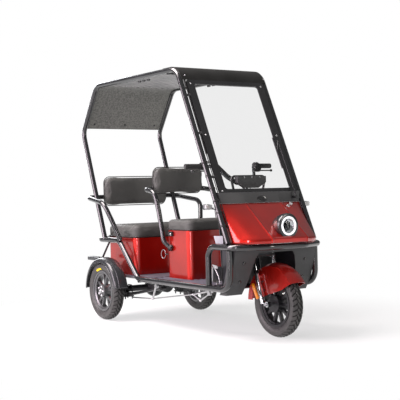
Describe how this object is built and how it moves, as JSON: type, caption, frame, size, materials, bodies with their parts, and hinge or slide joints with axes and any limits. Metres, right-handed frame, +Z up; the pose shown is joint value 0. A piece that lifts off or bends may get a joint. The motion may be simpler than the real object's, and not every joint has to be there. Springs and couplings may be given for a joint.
{
  "type": "electric tricycle",
  "caption": "Electric tricycle with a bent tube frame, a canopy and windshield, tandem seats on storage boxes, a steered front wheel and a driven rear axle.",
  "frame": {"origin": "on the ground under the middle of the vehicle's bounding box", "axes": "+X forward, +Y to the left, +Z up; the wheels turn about Y"},
  "size_m": [2.1524, 0.916, 1.7368],
  "materials": {
    "black_tube": "gloss",
    "roof_sheet": "satin",
    "gloss_black": "gloss",
    "felt_panel": "matt",
    "clear_glass": "clear",
    "dark_panel": "satin",
    "red_paint": "metallic gloss",
    "lamp_housing": "gloss",
    "lamp_lens": "clear",
    "red_lens": "clear",
    "floor_mat": "ribbed",
    "battery_case": "satin",
    "seat_vinyl": "matt",
    "dark_metal": "satin",
    "silver_metal": "bright",
    "bar_metal": "gloss",
    "grip_rubber": "matt",
    "tyre_rubber": "matt",
    "black_alloy": "satin",
    "grey_alloy": "satin"
  },
  "bodies": {
    "chassis": {"main_frame": "black_tube", "floor_frame": "black_tube", "neck_frame": "black_tube", "bumper_bar": "black_tube", "canopy_frame": "black_tube", "roof_panel": "roof_sheet", "roof_fascia": "gloss_black", "rear_canopy_panel": "felt_panel", "windshield_border": "gloss_black", "windshield_glass": "clear_glass", "lower_fascia": "dark_panel", "hood": "red_paint", "headlamp_housing": "lamp_housing", "headlamp_lens": "lamp_lens", "front_shield": "dark_panel", "footwell_panel": "dark_panel", "dash_hoop": "black_tube", "instrument_pod": "dark_panel", "floor_pan": "floor_mat", "rear_floor_mat": "floor_mat", "front_seat_box": "red_paint", "rear_seat_box": "red_paint", "battery_block": "battery_case", "front_seatback": "seat_vinyl", "rear_seatback": "seat_vinyl", "front_armrests": "black_tube", "rear_armrests": "black_tube", "rear_axle": "dark_metal", "drive_motor": "battery_case", "leaf_springs": "dark_metal", "brake_linkage": "dark_metal", "rear_fenders": "dark_panel", "tail_lamps": "red_lens", "turn_signals": "lamp_lens", "brake_pedal": "dark_metal", "wiper": "dark_metal", "seat_latch": "dark_metal"},
    "front_lid": {"front_seat_cushion": "seat_vinyl"},
    "rear_lid": {"rear_seat_cushion": "seat_vinyl"},
    "steering": {"front_fork": "silver_metal", "front_fender": "red_paint", "handlebar": "bar_metal", "handlebar_grips": "grip_rubber", "handlebar_controls": "dark_metal"},
    "front_wheel": {"front_tyre": "tyre_rubber", "front_rim": "black_alloy"},
    "rear_right_wheel": {"rear_right_tyre": "tyre_rubber", "rear_right_rim": "grey_alloy"},
    "rear_left_wheel": {"rear_left_tyre": "tyre_rubber", "rear_left_rim": "grey_alloy"}
  },
  "joints": [
    {"name": "steering_turn", "type": "hinge", "parent": "chassis", "child": "steering", "pos_m": [0.81524, 0, 0.21], "axis": [-0.309, 0, 0.9511], "range_deg": [-22, 22]},
    {"name": "front_wheel_spin", "type": "hinge", "parent": "steering", "child": "front_wheel", "pos_m": [0.86624, 0, 0.21], "axis": [0, 1, 0], "continuous": true},
    {"name": "rear_right_wheel_spin", "type": "hinge", "parent": "chassis", "child": "rear_right_wheel", "pos_m": [-0.63376, -0.404, 0.21], "axis": [0, 1, 0], "continuous": true},
    {"name": "rear_left_wheel_spin", "type": "hinge", "parent": "chassis", "child": "rear_left_wheel", "pos_m": [-0.63376, 0.404, 0.21], "axis": [0, 1, 0], "continuous": true},
    {"name": "front_seat_lift", "type": "hinge", "parent": "chassis", "child": "front_lid", "pos_m": [-0.11876, 0, 0.6523], "axis": [0, -1, 0], "range_deg": [0, 80]},
    {"name": "rear_seat_lift", "type": "hinge", "parent": "chassis", "child": "rear_lid", "pos_m": [-0.84476, 0, 0.5903], "axis": [0, -1, 0], "range_deg": [0, 60]}
  ]
}
